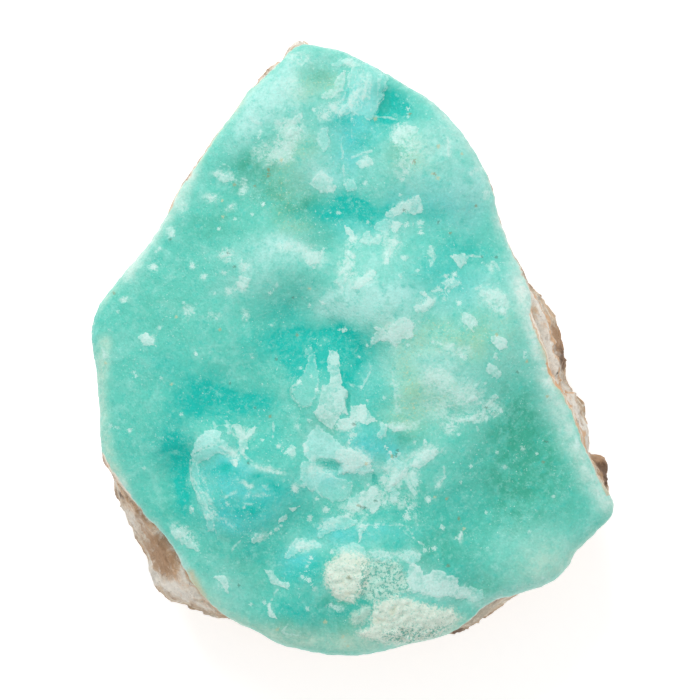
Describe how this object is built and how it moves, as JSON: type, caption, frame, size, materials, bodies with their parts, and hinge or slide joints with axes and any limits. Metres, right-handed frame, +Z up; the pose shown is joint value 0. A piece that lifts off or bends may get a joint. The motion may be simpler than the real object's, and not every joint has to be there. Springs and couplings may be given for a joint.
{
  "type": "aragonite specimen",
  "caption": "Hand specimen of blue-green aragonite crust with grape-like swellings on a wedge of tan banded host rock, lying flat on its broken back.",
  "frame": {"origin": "centre of the footprint, on the plane that the specimen rests on", "axes": "+Z up out of the blue-green crust, +Y towards the pointed tip, +X towards the edge where the banded rock shows"},
  "size_m": [0.0784, 0.092, 0.0289],
  "materials": {
    "aragonite": "waxy satin, fine sugary grain, faintly translucent",
    "host_rock": "matt, rough broken, cream and tan bands"
  },
  "bodies": {
    "root": {"aragonite_crust": "aragonite", "host_rock": "host_rock"}
  },
  "joints": []
}
